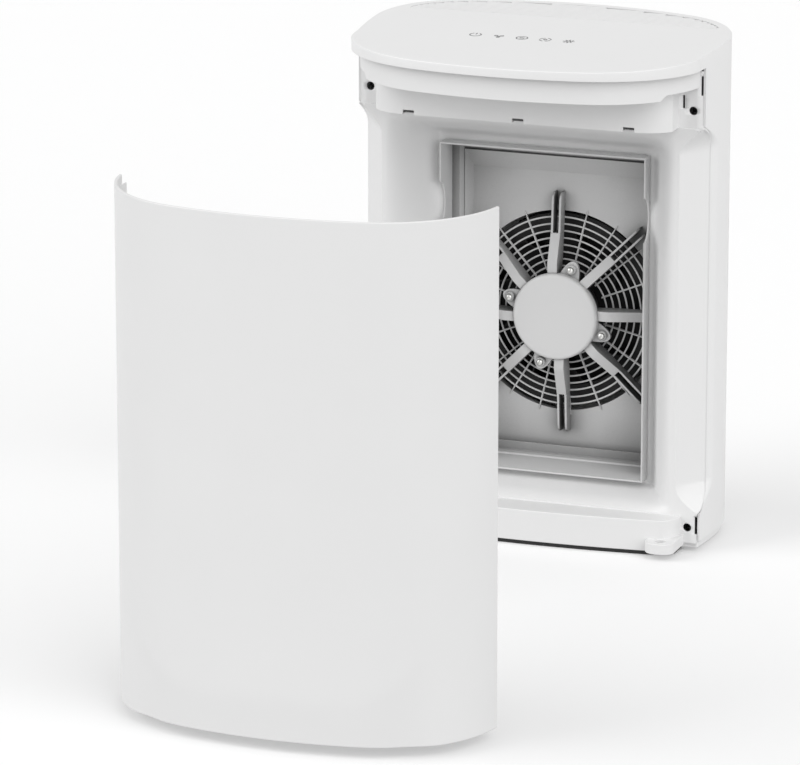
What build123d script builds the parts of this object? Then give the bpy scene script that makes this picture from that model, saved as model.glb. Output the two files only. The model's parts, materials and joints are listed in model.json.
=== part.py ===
"""Upright room air purifier with its curved front cover lifted off and standing in front of it.

Frame: millimetres, +X to the purifier's right as seen from the front, +Y to the back, +Z up.
The origin is on the floor, under the middle of the housing's front edges, where the cover's
two ends meet them.  The cover is modelled where it stands, COVER_SHIFT in front of its home.
"""
from build123d import *
import os
from math import asin, atan, cos, degrees, radians, sin

# Plan outline of the closed purifier: arcs that meet at a common tangent
HALF_WIDTH_FRONT = 184.7    # at the joint between cover and housing, Y = 0
FRONT_RADIUS = 450.0
COVER_SWEEP = 12.0          # half angle of the cover's middle arc, degrees
LID_SWEEP = 11.1            # the same for the lid, which stands a little further forward
JOINT_ANGLE = 83.0          # direction of the outline at the joint, degrees from +X
SIDE_RADIUS = 500.0
REAR_CORNER_RADIUS = 92.0
REAR_RADIUS = 455.0

# Heights
BASE_BOTTOM = 4.3
SKIN_BOTTOM = 11.7          # lower edge of housing and cover
LID_UNDERSIDE = 503.7
LID_FRONT_TOP = 512.4       # top surface at the lid's front edge
LID_FRONT_Y = -114.0
LID_SLOPE = 0.045           # the top rises towards the back
SKIN = 2.6                  # housing wall
WALL = 3.0                  # inner mouldings

# Front cover
COVER_WALL = 3.2
COVER_TOP = 503.2
COVER_SHIFT = 626.0

# Chassis front: flat face, dished middle, side air ramps
FACE_Y = 0.0
CHASSIS_INSET = 2.8
CHASSIS_BACK = 60.0
CHASSIS_TOP = 500.0
CHASSIS_BOTTOM = 8.3
DISH_Y = 55.0
DISH_FRONT = (152.0, 38.0, 432.0, 36.0)     # half width, bottom, top, corner radius
DISH_BACK = (117.0, 50.0, 405.0, 14.0)
RAMP_X = 158.0
RAMP_DEPTH = 31.4
RAMP_OUTER_X = 188.4         # housing wall at the back edge of the ramp
RAMP_Z = (75.0, 414.0)
RAMP_TIPS = (40.0, 443.0)
POCKET_Z = 438.5
POCKET_DEPTH = 2.0

# Screws of the chassis
SCREW_X = 171.9
SCREW_Z = (25.6, 458.9)
SCREW_HOLE_R = 4.4
SCREW_HOLE_DEPTH = 12.0
SCREW_SHANK_R = 1.8
SCREW_HEAD = (3.6, 3.0)     # radius, height
SCREW_TIP_Y = 30.0
BOSS_WALL = 2.0
BOSS_BACK = 32.0

# Slits that take the cover's edge tabs
SLIT_X = (179.7, 181.9)
SLITS_Z = ((19.0, 38.0), (475.0, 495.0))
SLIT_DEPTH = 9.0
HOOK_SLIT = (160.9, 163.1, 461.0, 474.5)

# Filter bay
BAY_HALF_WIDTH = 109.1
BAY_Z = (57.5, 395.5)
BAY_WALL = 1.8
BAY_FRONT = 37.3
BAY_STEP_Y = 73.0
BAY_BACK = 111.0
THROAT_FRONT = (103.5, 59.0, 392.0)         # half width, bottom, top
THROAT_BACK = (98.0, 66.0, 358.0)
SCALLOP_Z = 332.0
SCALLOP = (23.0, 14.0)      # half length, depth

# Fan
FAN_Z = 211.1
PLATE_Y = (BAY_BACK, BAY_BACK + 3.0)
PLATE = (130.0, 48.0, 404.0)                # half width, bottom, top
BELL_LIP = (3.0, 4.0)       # width and depth of the lip round the inlet
INLET_R = 106.8
HUB_R = 45.5
HUB_Y = 79.0
HUB_DEPTH = 9.0
HUB_WALL = 2.5
HUB_EDGE_R = 3.5
BRACKET_THICKNESS = 4.0
BRACKET_BORE = 12.0
ARMS = 8
ARM_WIDTH = 11.0
ARM_OFFSET = 4.0            # each arm stands to one side of its radius
ARM_GAP = 4.4               # between the two tines of a forked arm
FORK_START_R = 86.0
ARM_FRONT = ((36.0, 88.0), (44.0, 84.0), (56.0, 84.0), (90.0, 97.0), (122.0, 101.0), (128.0, 106.0))
ARM_BACK = ((100.0, 109.0), (60.0, 105.0), (41.0, 101.0), (41.0, 92.0), (36.0, 92.0))
FOOT_R = (113.0, 128.0)     # the part of an arm that stands on the fan plate
SIDE_ARM_R = 108.0          # the two level arms stop short of the bay's sides
EARS = 4
EAR_START = 72.0            # direction of the first ear, degrees above +X
EAR_RING_R = 53.0
EAR_R = 7.5
EAR_NECK = (0.8, 8.5)       # place along the ear's radius, radius of the neck
EAR_BOSS_R = 4.5
EAR_SCREW = (3.7, 1.9, 3.5, 17.0)           # head radius, shank radius, head height, tip depth
GUARD_RINGS = 8
GUARD_FIRST_R = 47.8
GUARD_PITCH = 7.45
GUARD_WIRE = 1.8
GUARD_SPOKES = 20
GUARD_SPOKE = (46.0, 108.6, 1.6)            # first and last radius, width
GUARD_SPOKE_TURN = 4.6
MOTOR_R = 38.0
MOTOR_EDGE_R = 3.0
MOTOR_Y = (92.0, 116.0)
BEARING_R = 9.0
BEARING_WIDTH = 5.0
SHAFT_R = 4.0
SHAFT_CLEARANCE = 0.05
IMPELLER_R = 102.0
IMPELLER_Y = (119.0, 146.0)
IMPELLER_DISC = 2.0
IMPELLER_HUB = (16.0, 24.0) # radius, length
SHROUD_INNER_R = 82.0
BLADES = 9
BLADE_ROOT = ((56.0, -15.0), (56.0, -12.0))
BLADE_MIDDLE = ((78.0, 3.0), (78.0, 5.0))
BLADE_TIP = ((100.0, 9.0), (100.0, 11.0))
CLIP = (8.0, 2.0)           # radius, thickness
SCROLL = (115.0, 118.0)     # inner and outer radius
SCROLL_TOP = 470.0

# Upper parts
BAND_INSET = 4.8
BAND_BOTTOM = 478.5
BAND_END_BOTTOM = 484.0
BAND_END_X = 157.5
RAIL = (157.5, 116.0, -23.0, -40.0)         # half width, flat half width, side Y, front Y
RAIL_BOTTOM = 441.0
NOTCH_X = 116.6
NOTCH = (12.0, 5.0, 8.0)                    # width, height, depth

# Base
LEDGE_TOP = 37.0
LEDGE = (146.0, 165.0, -37.0, -27.0)        # straight half width, half width, middle Y, end Y
LUG = (138.0, 168.5, -46.0, 7.0, 18.0)      # inner X, outer X, front Y, bottom, top
LUG_HOLE = (153.5, -33.0, 5.5)
LUG_CORNER_R = 12.0
STRIP = (130.0, 9.0, 8.0)   # front rubber strip: half length, half width, corner radius
FOOT = (105.0, 108.0, 12.0) # rear feet: X, Y, radius

# Mains side
GLAND_Z = 32.0
GLAND_R = 7.5
GLAND_BORE_R = 3.6
GLAND_FLANGE = (3.0, 2.0)   # how far it stands out, thickness
BOARD_THICKNESS = 1.6
POWER_BOARD = (70.0, 70.0, 130.0, 14.0)     # half width, front Y, back Y, underside
POWER_STANDOFF = (64.0, 6.0, 3.0)           # X, distance from the board's edge, radius

# Outlet grille in the top
OUTLET_FRONT = 98.0
OUTLET_INSET = 9.0
SLOT_PITCH = 4.8
SLOT_WIDTH = 1.5
SLOT_LENGTH = 76.0
SLOT_BAR = 4.0
OUTLET_HALF_WIDTH = 165.0
GRILLE_PLATE = 3.0

# Touch symbols
ICON_X = -62.4
ICON_PITCH = 24.8
ICON_Y = 10.0
ICON_R = 5.5
ICONS = 5
ICON_PLATE = 0.3
CONTROL_BOARD = (85.0, -25.0, 45.0, 505.0)  # half width, front Y, back Y, underside

BIG = 900.0


def normal_at(angle):
    return Vector(sin(radians(angle)), -cos(radians(angle)))


def outline_arcs(sweep):
    """Right-hand half of the plan outline, front to back: centre, radius, first and last angle."""
    corner = (HALF_WIDTH_FRONT - FRONT_RADIUS * sin(radians(sweep))) / (
        sin(radians(JOINT_ANGLE)) - sin(radians(sweep)))
    joint = Vector(HALF_WIDTH_FRONT, 0)
    corner_centre = joint - normal_at(JOINT_ANGLE) * corner
    front_centre = corner_centre + normal_at(sweep) * (corner - FRONT_RADIUS)
    side_centre = joint - normal_at(JOINT_ANGLE) * SIDE_RADIUS
    rear_corner_centre = side_centre + normal_at(90) * (SIDE_RADIUS - REAR_CORNER_RADIUS)
    rear_angle = degrees(asin(rear_corner_centre.X / (REAR_RADIUS - REAR_CORNER_RADIUS)))
    rear_middle = normal_at(180 - rear_angle)
    rear_centre = rear_corner_centre + rear_middle * (REAR_CORNER_RADIUS - REAR_RADIUS)
    return [
        (front_centre, FRONT_RADIUS, 0, sweep),
        (corner_centre, corner, sweep, JOINT_ANGLE),
        (side_centre, SIDE_RADIUS, JOINT_ANGLE, 90),
        (rear_corner_centre, REAR_CORNER_RADIUS, 90, 180 - rear_angle),
        (rear_centre, REAR_RADIUS, 180 - rear_angle, 180),
    ]


REAR_Y = outline_arcs(COVER_SWEEP)[-1][0].Y + REAR_RADIUS


def outline_edges(inset, sweep):
    """Closed plan outline, moved inwards by inset, as a list of arcs."""
    edges = []
    for side in (1, -1):
        for centre, radius, first, last in outline_arcs(sweep):
            points = []
            for angle in (first, (first + last) / 2, last):
                point = centre + normal_at(angle) * (radius - inset)
                points.append((side * point.X, point.Y))
            edges.append(ThreePointArc(*points))
    return edges


def polygon(points):
    return Face(Wire.make_polygon([Vector(x, y) for x, y in points], close=True))


def prism(edges, bottom, top):
    """A plan outline raised from bottom to top."""
    face = Face(Wire(edges))
    return Pos(0, 0, bottom) * Solid.extrude(face, Vector(0, 0, top - bottom))


def oval(inset, bottom, top, sweep=COVER_SWEEP):
    return prism(outline_edges(inset, sweep), bottom, top)


def block(x0, x1, y0, y1, z0, z1):
    """A box between two corners."""
    centre = Pos((x0 + x1) / 2, (y0 + y1) / 2, (z0 + z1) / 2)
    return centre * Box(x1 - x0, y1 - y0, z1 - z0)


def rod(x, z, radius, y0, y1):
    """A cylinder along Y."""
    return Pos(x, (y0 + y1) / 2, z) * Rot(90, 0, 0) * Cylinder(radius, y1 - y0)


def both_sides(shape):
    return shape + mirror(shape, Plane.YZ)


def front_of(shape, y):
    return shape & block(-BIG, BIG, -BIG, y, -BIG, BIG)


def behind(shape, y):
    return shape & block(-BIG, BIG, y, BIG, -BIG, BIG)


def top_height(y, depth=0.0):
    return LID_FRONT_TOP + LID_SLOPE * (y - LID_FRONT_Y) - depth


def under_top(shape, depth):
    """Cut a shape off at the sloping top, depth below its surface."""
    tilt = degrees(atan(LID_SLOPE))
    above = Pos(0, 0, top_height(0, depth)) * Rot(tilt, 0, 0) * Pos(0, 0, BIG / 2) * Box(BIG, BIG, BIG)
    return shape - above


def side_ramp(grow=0.0):
    """The wedge of air space in front of the right-hand ramp, with its pointed ends."""
    slope = RAMP_DEPTH / (RAMP_OUTER_X - RAMP_X)
    front = FACE_Y - 4
    outer = HALF_WIDTH_FRONT + 16
    start = RAMP_X - grow * 1.4 + (front - FACE_Y) / slope
    back = front + (outer - start) * slope
    corners = [(start, front), (outer, front), (outer, back)]
    faces = []
    for z in RAMP_Z:
        faces.append(Pos(0, 0, z) * polygon(corners))
    wedge = Solid.extrude(faces[0], Vector(0, 0, RAMP_Z[1] - RAMP_Z[0]))
    low_tip = Vertex(HALF_WIDTH_FRONT + 2, front, RAMP_TIPS[0] - grow)
    high_tip = Vertex(HALF_WIDTH_FRONT + 2, front, RAMP_TIPS[1] + grow)
    low_end = loft([low_tip, faces[0]])
    high_end = loft([faces[1], high_tip])
    return wedge + low_end + high_end


def dish(grow=0.0):
    """The space of the dished middle, wide in front and narrow at its floor."""
    sections = []
    for (half, bottom, top, radius), y in ((DISH_FRONT, FACE_Y), (DISH_BACK, DISH_Y + grow)):
        height = top - bottom + 2 * grow
        plane = Plane(origin=(0, y, (top + bottom) / 2), x_dir=(1, 0, 0), z_dir=(0, -1, 0))
        sections.append(plane * RectangleRounded(2 * (half + grow), height, radius))
    mouth = extrude(sections[0], amount=10)
    return loft(sections) + mouth


def chassis_form(depth):
    """The chassis as if solid, with every surface moved back by depth."""
    back = BIG if depth else CHASSIS_BACK
    form = oval(CHASSIS_INSET + depth, CHASSIS_BOTTOM + depth, CHASSIS_TOP - depth)
    form = form & block(-BIG, BIG, FACE_Y + depth, back, -BIG, BIG)
    return form - dish(depth) - both_sides(side_ramp(depth))


def chassis_panel():
    panel = chassis_form(0) - chassis_form(WALL)
    pocket = block(RAIL[0], BIG, FACE_Y - 5, FACE_Y + POCKET_DEPTH, POCKET_Z, CHASSIS_TOP)
    holes = []
    for z in SCREW_Z:
        for x in (-SCREW_X, SCREW_X):
            panel += rod(x, z, SCREW_HOLE_R + BOSS_WALL, FACE_Y + 1, BOSS_BACK)
            holes.append(rod(x, z, SCREW_HOLE_R, FACE_Y - 5, SCREW_HOLE_DEPTH))
            holes.append(rod(x, z, SCREW_SHANK_R, SCREW_HOLE_DEPTH - 1, BOSS_BACK + 1))
    for low, high in SLITS_Z:
        holes.append(both_sides(block(*SLIT_X, FACE_Y - 1, SLIT_DEPTH, low, high)))
    hook = HOOK_SLIT
    holes.append(both_sides(block(hook[0], hook[1], FACE_Y - 1, SLIT_DEPTH, hook[2], hook[3])))
    holes.append(both_sides(pocket))
    outer = BAY_HALF_WIDTH + BAY_WALL
    bottom, top = BAY_Z[0] - BAY_WALL, BAY_Z[1] + BAY_WALL
    holes.append(block(-outer, outer, 0, BIG, bottom, top))
    return panel - holes


def housing_shell():
    """Sides, back and lid in one moulding, open in front below the lid."""
    wall = behind(oval(0, SKIN_BOTTOM, BIG), 0) - oval(SKIN, 0, BIG)
    lid = oval(0, LID_UNDERSIDE, BIG, LID_SWEEP)
    shell = under_top(wall + lid, 0)
    shell -= under_top(oval(SKIN, LID_UNDERSIDE - 20, BIG, LID_SWEEP), SKIN)
    shell -= both_sides(side_ramp())
    shell -= outlet_space(0.3)
    shell -= rod(0, GLAND_Z, GLAND_R, 120, 200)
    return shell


def outlet_space(grow):
    """The opening in the top that the outlet grille fills."""
    half = OUTLET_HALF_WIDTH + grow
    rear = block(-half, half, OUTLET_FRONT - grow, BIG, -BIG, BIG)
    return oval(OUTLET_INSET - grow, LID_UNDERSIDE, BIG) & rear


def outlet_grille():
    sunk = 0.2
    rim = 3.5
    columns = 4
    rows = 11
    plate = under_top(outlet_space(0), sunk) - under_top(outlet_space(5), sunk + GRILLE_PLATE)
    window = oval(OUTLET_INSET + rim, 0, BIG)
    slots = []
    for row in range(rows):
        y = OUTLET_FRONT + 5 + row * SLOT_PITCH
        for column in range(columns):
            x = (column - columns / 2) * (SLOT_LENGTH + SLOT_BAR) + SLOT_BAR / 2
            slots.append(block(x, x + SLOT_LENGTH, y, y + SLOT_WIDTH, 0, BIG) & window)
    return plate - slots


def touch_icons():
    icons = []
    middle = top_height(ICON_Y) + ICON_PLATE / 2 + 0.01
    for index in range(ICONS):
        place = Pos(ICON_X + index * ICON_PITCH, ICON_Y, middle)
        icons.append(place * Rot(degrees(atan(LID_SLOPE)), 0, 0) * Cylinder(ICON_R, ICON_PLATE))
    return Compound(children=icons)


def control_board():
    half, front, back, bottom = CONTROL_BOARD
    top = bottom + BOARD_THICKNESS
    board = block(-half, half, front, back, bottom, top)
    controller = block(-20, 4, 0, 18, top, top + 2.2)
    buzzer = block(24, 40, -10, 2, top, top + 2.8)
    return board + controller + buzzer


def control_housing():
    """Curved band that carries the lid's front, with a floor back to the chassis."""
    into_lid = 5.3
    outer = oval(BAND_INSET, BAND_BOTTOM, LID_UNDERSIDE + into_lid)
    inner = oval(BAND_INSET + WALL, BAND_BOTTOM + WALL, BIG)
    cup = front_of(outer - inner, FACE_Y - 3)
    cup -= both_sides(block(BAND_END_X, BIG, -BIG, BIG, 0, BAND_END_BOTTOM))
    cup += front_of(oval(BAND_INSET + 1, BAND_END_BOTTOM, BAND_END_BOTTOM + WALL), FACE_Y - 3)
    return cup


def latch_rail():
    """Box rail under the band, with three notches in its lower front edge."""
    half, flat, side_y, front_y = RAIL

    def plan(inset):
        edge = half - inset
        front = front_y + inset
        flat_end = (flat, front)
        flat_pull = (flat + 18, front)
        side_pull = (edge - 8, side_y - 12 + inset)
        side_end = (edge, side_y)
        curves = [Line((-flat, front), flat_end), Line((edge, FACE_Y), (-edge, FACE_Y))]
        for side in (1, -1):
            bend = [(side * x, y) for x, y in (flat_end, flat_pull, side_pull, side_end)]
            curves.append(Bezier(*bend))
            curves.append(Line(bend[-1], (side * edge, FACE_Y)))
        return curves

    rail = prism(plan(0), RAIL_BOTTOM, BAND_BOTTOM) - prism(plan(WALL), RAIL_BOTTOM + WALL, BIG)
    width, height, depth = NOTCH
    notches = []
    for x in (-NOTCH_X, 0, NOTCH_X):
        notches.append(block(x - width / 2, x + width / 2, front_y - 5, front_y + depth,
                             RAIL_BOTTOM - 1, RAIL_BOTTOM + height))
    return rail - notches


def filter_bay():
    """Rimmed box for the filter cartridge, with a throat that narrows towards the fan."""
    half, (low, high) = BAY_HALF_WIDTH, BAY_Z
    outer = half + BAY_WALL
    outside = block(-outer, outer, BAY_FRONT, BAY_BACK, low - BAY_WALL, high + BAY_WALL)
    seat = block(-half, half, 0, BAY_STEP_Y, low, high)
    sections = []
    for (width, bottom, top), y in ((THROAT_FRONT, BAY_STEP_Y - 0.01), (THROAT_BACK, BAY_BACK + 0.01)):
        plane = Plane(origin=(0, y, (top + bottom) / 2), x_dir=(1, 0, 0), z_dir=(0, -1, 0))
        sections.append(plane * Rectangle(2 * width, top - bottom))
    throat = loft(sections) + rod(0, FAN_Z, INLET_R + 5, BAY_STEP_Y + 4, BAY_BACK + 1)
    throat -= both_sides(block(half, BIG, 0, BIG, 0, BIG))
    scallop = Pos(0, BAY_FRONT, SCALLOP_Z) * Rot(0, 90, 0) * extrude(
        Ellipse(SCALLOP[0], SCALLOP[1]), amount=BIG / 2, both=True)
    return outside - seat - throat - scallop


def fan_plate():
    half, low, high = PLATE
    plate = block(-half, half, *PLATE_Y, low, high)
    lip_width, lip_depth = BELL_LIP
    bell = rod(0, FAN_Z, INLET_R + lip_width, PLATE_Y[1], PLATE_Y[1] + lip_depth)
    return plate + bell - rod(0, FAN_Z, INLET_R, 0, BIG)


def inlet_guard():
    """Concentric rings on thin spokes, across the inlet."""
    front = PLATE_Y[0] - GUARD_WIRE
    back = PLATE_Y[0] + GUARD_WIRE / 3
    rings = []
    for index in range(GUARD_RINGS):
        radius = GUARD_FIRST_R + index * GUARD_PITCH
        disc = rod(0, FAN_Z, radius + GUARD_WIRE / 2, front, back)
        rings.append(disc - rod(0, FAN_Z, radius - GUARD_WIRE / 2, 0, BIG))
    guard = rings[0]
    for ring in rings[1:]:
        guard += ring
    first, last, width = GUARD_SPOKE
    spoke = Pos((first + last) / 2, 0, 0) * Box(last - first, width, GUARD_WIRE)
    for index in range(GUARD_SPOKES):
        turn = GUARD_SPOKE_TURN + index * 360 / GUARD_SPOKES
        guard += Pos(0, front + GUARD_WIRE / 2, FAN_Z) * Rot(0, -turn, 0) * Rot(90, 0, 0) * spoke
    return guard


def ear_places():
    places = []
    for index in range(EARS):
        angle = radians(EAR_START + index * 360 / EARS)
        places.append((EAR_RING_R * cos(angle), EAR_RING_R * sin(angle)))
    return places


def motor_bracket():
    """Hub plate on eight arms that fork where they land on the fan plate, and four screw ears."""
    plate_front = HUB_Y + HUB_DEPTH
    plate_back = plate_front + BRACKET_THICKNESS
    bracket = rod(0, FAN_Z, HUB_R - 1, plate_front, plate_back)
    foot = [(FOOT_R[1], BAY_BACK), (FOOT_R[0], BAY_BACK), (FOOT_R[0] - 1, ARM_BACK[0][1])]
    profile = polygon([*ARM_FRONT, *foot, *ARM_BACK])
    arm = Solid.extrude(profile, Vector(0, 0, ARM_WIDTH))
    arm = Pos(0, 0, -ARM_WIDTH / 2) * arm
    arm -= block(FORK_START_R, BIG, 0, BIG, -ARM_GAP / 2, ARM_GAP / 2)
    arm = Pos(0, 0, ARM_OFFSET) * arm
    level_arm = arm - block(SIDE_ARM_R, BIG, 0, BIG, -BIG, BIG)
    for index in range(ARMS):
        blank = level_arm if index % (ARMS // 2) == 0 else arm
        bracket += Pos(0, 0, FAN_Z) * Rot(0, -index * 360 / ARMS, 0) * blank
    neck_place, neck_radius = EAR_NECK
    for x, z in ear_places():
        bracket += rod(x, FAN_Z + z, EAR_R, plate_front, plate_back)
        bracket += rod(x * neck_place, FAN_Z + z * neck_place, neck_radius, plate_front, plate_back)
        bracket += rod(x, FAN_Z + z, EAR_BOSS_R, plate_front - BRACKET_THICKNESS, plate_front)
        bracket -= rod(x, FAN_Z + z, EAR_SCREW[1], 0, BIG)
    bracket -= rod(0, FAN_Z, BRACKET_BORE, 0, BIG)
    return bracket - rod(0, FAN_Z, HUB_R + 0.2, 0, plate_front)


def bracket_screws():
    head_radius, shank_radius, head_height, tip = EAR_SCREW
    head_back = HUB_Y + HUB_DEPTH - BRACKET_THICKNESS
    screws = []
    for x, z in ear_places():
        head = rod(x, FAN_Z + z, head_radius, head_back - head_height, head_back)
        screws.append(head + rod(x, FAN_Z + z, shank_radius, head_back, HUB_Y + tip))
    return Compound(children=screws)


def circle_edges(shape):
    """Round edges of a turned shape, front to back."""
    return shape.edges().filter_by(GeomType.CIRCLE).sort_by(Axis.Y)


def motor_cover():
    cup = rod(0, FAN_Z, HUB_R, HUB_Y, HUB_Y + HUB_DEPTH)
    cup = fillet(circle_edges(cup)[0], HUB_EDGE_R)
    return cup - rod(0, FAN_Z, HUB_R - HUB_WALL, HUB_Y + HUB_WALL, BIG)


def motor_can():
    can = rod(0, FAN_Z, MOTOR_R, *MOTOR_Y)
    can = fillet(circle_edges(can)[-1], MOTOR_EDGE_R)
    return can - rod(0, FAN_Z, BEARING_R, 0, BIG)


def motor_bearings():
    bearings = []
    for y in (MOTOR_Y[0] + 1, MOTOR_Y[1] - 1 - BEARING_WIDTH):
        ring = rod(0, FAN_Z, BEARING_R, y, y + BEARING_WIDTH)
        bearings.append(ring - rod(0, FAN_Z, SHAFT_R + SHAFT_CLEARANCE, 0, BIG))
    return Compound(children=bearings)


def motor_shaft():
    return rod(0, FAN_Z, SHAFT_R, MOTOR_Y[0] + 0.5, IMPELLER_Y[1] + 3)


def impeller():
    """Backward-curved blades between a shroud ring in front and a back disc."""
    front, back = IMPELLER_Y
    hub_radius, hub_length = IMPELLER_HUB
    shroud = rod(0, FAN_Z, IMPELLER_R, front, front + IMPELLER_DISC)
    wheel = rod(0, FAN_Z, IMPELLER_R, back - IMPELLER_DISC, back)
    wheel += rod(0, FAN_Z, hub_radius, back - hub_length, back)
    wheel += shroud - rod(0, FAN_Z, SHROUD_INNER_R, 0, BIG)
    pressure = ThreePointArc(BLADE_ROOT[0], BLADE_MIDDLE[0], BLADE_TIP[0])
    suction = ThreePointArc(BLADE_TIP[1], BLADE_MIDDLE[1], BLADE_ROOT[1])
    tip = Line(BLADE_TIP[0], BLADE_TIP[1])
    root = Line(BLADE_ROOT[1], BLADE_ROOT[0])
    section = Face(Wire([pressure, tip, suction, root]))
    blade = Solid.extrude(section, Vector(0, 0, back - front - IMPELLER_DISC))
    blade = Rot(90, 0, 0) * blade
    for index in range(BLADES):
        wheel += Pos(0, back - 1, FAN_Z) * Rot(0, index * 360 / BLADES, 0) * blade
    return wheel - rod(0, FAN_Z, SHAFT_R, 0, BIG)


def shaft_clip():
    radius, thickness = CLIP
    clip = rod(0, FAN_Z, radius, IMPELLER_Y[1], IMPELLER_Y[1] + thickness)
    return clip - rod(0, FAN_Z, SHAFT_R, 0, BIG)


def fan_scroll():
    """Wall that turns the air from the impeller up to the outlet."""
    inner, outer = SCROLL
    y0, y1 = PLATE_Y[1], IMPELLER_Y[1] - 1
    low = rod(0, FAN_Z, outer, y0, y1) - rod(0, FAN_Z, inner, 0, BIG)
    low = low & block(-BIG, BIG, 0, BIG, 0, FAN_Z)
    walls = both_sides(block(inner, outer, y0, y1, FAN_Z, SCROLL_TOP))
    return low + walls


def ledge_edges(inset):
    straight, half, middle_y, end_y = LEDGE
    straight -= inset
    half -= inset
    front = ThreePointArc((-straight, end_y + inset), (0, middle_y + inset), (straight, end_y + inset))
    right = TangentArc((straight, end_y + inset), (half, FACE_Y), tangent=front.tangent_at(1))
    middle = right @ 0.5
    left = ThreePointArc((-half, FACE_Y), (-middle.X, middle.Y), (-straight, end_y + inset))
    back = Line((half, FACE_Y), (-half, FACE_Y))
    return [front, right, back, left]


def base_tray():
    """Bottom plate with a rim inside the housing wall, and the ledge in front."""
    plate = behind(oval(CHASSIS_INSET, BASE_BOTTOM, CHASSIS_BOTTOM), FACE_Y)
    rim_height = SKIN_BOTTOM + 10
    rim = oval(CHASSIS_INSET, BASE_BOTTOM, rim_height) - oval(CHASSIS_INSET + WALL, 0, BIG)
    rim = behind(rim, CHASSIS_BACK)
    ledge = prism(ledge_edges(0), BASE_BOTTOM, LEDGE_TOP)
    hollow = prism(ledge_edges(WALL), BASE_BOTTOM - 1, LEDGE_TOP - WALL)
    return plate + rim + (ledge - hollow)


def base_lugs():
    inner, outer, front, bottom, top = LUG
    x, y, radius = LUG_HOLE
    lug = block(inner, outer, front, FACE_Y, bottom, top)
    corners = lug.edges().filter_by(Axis.Z).group_by(Axis.Y)[0]
    lug = fillet(corners, LUG_CORNER_R)
    lug -= Pos(x, y, top) * Cylinder(radius, 2 * top)
    ledge = prism(ledge_edges(0), 0, LEDGE_TOP)
    return both_sides(lug - ledge)


def rubber_feet():
    length, width, corner = STRIP
    strip = block(-length, length, -width, width, 0, BASE_BOTTOM)
    feet = [fillet(strip.edges().filter_by(Axis.Z), corner)]
    x, y, radius = FOOT
    for side in (-1, 1):
        feet.append(Pos(side * x, y, BASE_BOTTOM / 2) * Cylinder(radius, BASE_BOTTOM))
    return Compound(children=feet)


def housing_screws():
    """Cross-head screws at the bottom of the chassis's four holes."""
    radius, height = SCREW_HEAD
    top = SCREW_HOLE_DEPTH - height
    cross_length, cross_width, cross_depth = 4.0, 0.9, 2.4
    screws = []
    for z in SCREW_Z:
        for x in (-SCREW_X, SCREW_X):
            head = rod(x, z, radius, top, SCREW_HOLE_DEPTH)
            cross = Box(cross_length, cross_depth, cross_width) + Box(cross_width, cross_depth, cross_length)
            shank = rod(x, z, SCREW_SHANK_R, SCREW_HOLE_DEPTH, SCREW_TIP_Y)
            screws.append(head - Pos(x, top, z) * cross + shank)
    return Compound(children=screws)


def power_board():
    half, front, back, bottom = POWER_BOARD
    top = bottom + BOARD_THICKNESS
    board = block(-half, half, front, back, bottom, top)
    transformer = block(-50, -15, 80, 110, top, top + 18.4)
    capacitor = block(10, 38, 82, 104, top, top + 14.4)
    x, edge, radius = POWER_STANDOFF
    height = bottom - CHASSIS_BOTTOM
    legs = []
    for side in (-1, 1):
        for y in (front + edge, back - edge):
            legs.append(Pos(side * x, y, CHASSIS_BOTTOM + height / 2) * Cylinder(radius, height))
    return board + transformer + capacitor + legs


def cord_gland():
    """Rubber gland in the back wall; the cord itself is not part of this model."""
    stand, flange = GLAND_FLANGE
    gland = rod(0, GLAND_Z, GLAND_R, REAR_Y - 8, REAR_Y + 1)
    gland += rod(0, GLAND_Z, GLAND_R + stand, REAR_Y, REAR_Y + flange)
    gland += rod(0, GLAND_Z, GLAND_R + stand - 1, REAR_Y - 9, REAR_Y - 5)
    return gland - rod(0, GLAND_Z, GLAND_BORE_R, 0, BIG)


def front_cover():
    cover = oval(0, SKIN_BOTTOM, COVER_TOP) - oval(COVER_WALL, 0, BIG)
    return front_of(cover, 0)


def cover_latch_arms():
    """Three flat arms from the cover's back to the notches in the rail."""
    inside = oval(COVER_WALL, 0, BIG)
    width, height, depth = NOTCH
    low, high = RAIL_BOTTOM + 0.8, RAIL_BOTTOM + height - 0.8
    arms = []
    for x in (-NOTCH_X, 0, NOTCH_X):
        arm = block(x - width / 2 + 1, x + width / 2 - 1, -BIG, RAIL[3] + depth - 2, low, high)
        web = block(x - 1.5, x + 1.5, -BIG, RAIL[3] - 18, low - 16, low)
        arms.append((arm + web) & inside)
    return Compound(children=arms)


def cover_edge_tabs():
    """Thin tabs on the cover's ends that enter the slits beside the housing's edges."""
    tabs = []
    wall = front_cover()
    for low, high in SLITS_Z:
        for side in (-1, 1):
            x0, x1 = sorted((side * (SLIT_X[0] + 0.4), side * (SLIT_X[1] - 0.5)))
            tabs.append(block(x0, x1, -10, SLIT_DEPTH - 2, low + 1, high - 1) - wall)
    return Compound(children=tabs)


FIXED_PARTS = [
    housing_shell, outlet_grille, touch_icons, control_board, chassis_panel, control_housing,
    latch_rail, filter_bay, fan_plate, inlet_guard, motor_bracket, bracket_screws, motor_cover,
    motor_can, motor_bearings, fan_scroll, base_tray, base_lugs, rubber_feet, housing_screws,
    power_board, cord_gland, motor_shaft, impeller, shaft_clip,
]
COVER_PARTS = [front_cover, cover_latch_arms, cover_edge_tabs]

os.makedirs("parts", exist_ok=True)
for make in FIXED_PARTS:
    export_step(make(), f"parts/{make.__name__}.step")
for make in COVER_PARTS:
    export_step(Pos(0, -COVER_SHIFT, 0) * make(), f"parts/{make.__name__}.step")
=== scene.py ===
import json
from math import asin, cos, degrees, pi, radians, sin, sqrt

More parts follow.
